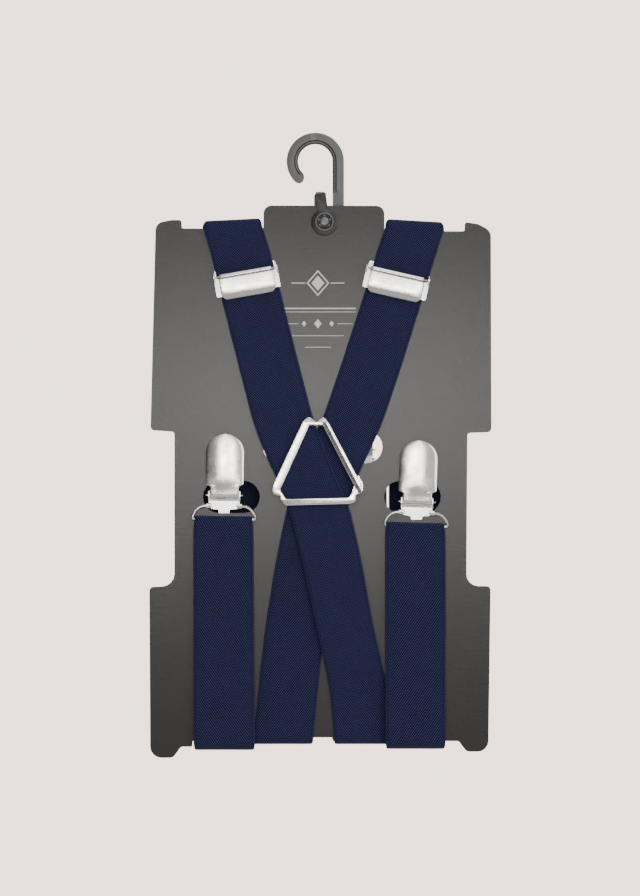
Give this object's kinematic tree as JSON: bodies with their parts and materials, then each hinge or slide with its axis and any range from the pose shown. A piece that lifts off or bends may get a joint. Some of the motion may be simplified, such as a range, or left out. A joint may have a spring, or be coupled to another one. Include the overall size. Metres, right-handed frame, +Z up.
{
  "type": "suspenders",
  "caption": "X-back elastic braces with flip-lid trouser clips, slide adjusters and a triangular crossing ring, wrapped round a hanging display card.",
  "frame": {"origin": "the inner top of the hanger hook, where a peg carries it, in the plane of the board's middle", "axes": "+Z up along the card, -Y out of the card's front, +X to the right as seen from the front"},
  "size_m": [0.1979, 0.0142, 0.3617],
  "materials": {
    "navy_webbing": "woven elastic with a fine diagonal rib, matt with a slight sheen on the ribs",
    "board": "satin black laminated board with grey cut edges",
    "hook_plastic": "charcoal moulded plastic, soft satin",
    "snap_plastic": "black moulded plastic, semi-gloss",
    "nickel": "bright nickel plate with fine scuffs",
    "pin_steel": "plain drawn wire, bright",
    "grip_plastic": "translucent milky moulded plastic"
  },
  "bodies": {
    "card": {"display_card": "board", "hanger_hook": "hook_plastic", "strap_left": "navy_webbing", "strap_right": "navy_webbing", "ring_front": "nickel", "ring_rear": "nickel", "clip_base_front_left": "nickel", "clip_pin_front_left": "pin_steel", "clip_pad_front_left": "grip_plastic", "clip_base_front_right": "nickel", "clip_pin_front_right": "pin_steel", "clip_pad_front_right": "grip_plastic", "clip_base_back_left": "nickel", "clip_pin_back_left": "pin_steel", "clip_pad_back_left": "grip_plastic", "clip_base_back_right": "nickel", "clip_pin_back_right": "pin_steel", "clip_pad_back_right": "grip_plastic"},
    "lid_front_left": {"clip_lid_front_left": "nickel"},
    "wire_front_left": {"clip_wire_front_left": "nickel"},
    "lid_front_right": {"clip_lid_front_right": "nickel"},
    "wire_front_right": {"clip_wire_front_right": "nickel"},
    "lid_back_left": {"clip_lid_back_left": "nickel"},
    "wire_back_left": {"clip_wire_back_left": "nickel"},
    "lid_back_right": {"clip_lid_back_right": "nickel"},
    "wire_back_right": {"clip_wire_back_right": "nickel"},
    "adjuster_left": {"adjuster_frame_left": "nickel", "adjuster_pin_left": "pin_steel"},
    "cover_left": {"adjuster_cover_left": "nickel"},
    "adjuster_right": {"adjuster_frame_right": "nickel", "adjuster_pin_right": "pin_steel"},
    "cover_right": {"adjuster_cover_right": "nickel"},
    "snap": {"snap_strap": "snap_plastic"}
  },
  "joints": [
    {"name": "lid_front_left_hinge", "type": "hinge", "parent": "card", "child": "lid_front_left", "pos_m": [-0.0526, -0.0022, -0.2032], "axis": [0.9999, 0, -0.014], "range_deg": [0, 110]},
    {"name": "wire_front_left_hinge", "type": "hinge", "parent": "card", "child": "wire_front_left", "pos_m": [-0.05269, -0.00255, -0.2094], "axis": [-0.9999, 0, 0.014], "range_deg": [0, 30]},
    {"name": "lid_front_right_hinge", "type": "hinge", "parent": "card", "child": "lid_front_right", "pos_m": [0.0588, -0.0022, -0.207], "axis": [0.9994, 0, -0.0349], "range_deg": [0, 110]},
    {"name": "wire_front_right_hinge", "type": "hinge", "parent": "card", "child": "wire_front_right", "pos_m": [0.05858, -0.00255, -0.2132], "axis": [-0.9994, 0, 0.0349], "range_deg": [0, 30]},
    {"name": "lid_back_left_hinge", "type": "hinge", "parent": "card", "child": "lid_back_left", "pos_m": [-0.0129, 0.0022, -0.177], "axis": [-1, 0, 0], "range_deg": [0, 110]},
    {"name": "wire_back_left_hinge", "type": "hinge", "parent": "card", "child": "wire_back_left", "pos_m": [-0.0129, 0.00255, -0.1832], "axis": [1, 0, 0], "range_deg": [0, 30]},
    {"name": "lid_back_right_hinge", "type": "hinge", "parent": "card", "child": "lid_back_right", "pos_m": [0.024, 0.0022, -0.177], "axis": [-1, 0, 0], "range_deg": [0, 110]},
    {"name": "wire_back_right_hinge", "type": "hinge", "parent": "card", "child": "wire_back_right", "pos_m": [0.024, 0.00255, -0.1832], "axis": [1, 0, 0], "range_deg": [0, 30]},
    {"name": "adjuster_left_slide", "type": "slide", "parent": "card", "child": "adjuster_left", "axis": [0.2453, 0, -0.9694], "range_m": [0, 0.036]},
    {"name": "cover_left_hinge", "type": "hinge", "parent": "adjuster_left", "child": "cover_left", "pos_m": [-0.0403, -0.0049, -0.07459], "axis": [-0.9854, 0, -0.1702], "range_deg": [0, 100]},
    {"name": "adjuster_right_slide", "type": "slide", "parent": "card", "child": "adjuster_right", "axis": [-0.2924, 0, -0.9563], "range_m": [0, 0.036]},
    {"name": "cover_right_hinge", "type": "hinge", "parent": "adjuster_right", "child": "cover_right", "pos_m": [0.04791, -0.0049, -0.07555], "axis": [-0.9751, 0, 0.2215], "range_deg": [0, 100]},
    {"name": "snap_hinge", "type": "hinge", "parent": "card", "child": "snap", "pos_m": [0.0026, 0, -0.0283], "axis": [-1, 0, 0], "range_deg": [0, 150]}
  ]
}
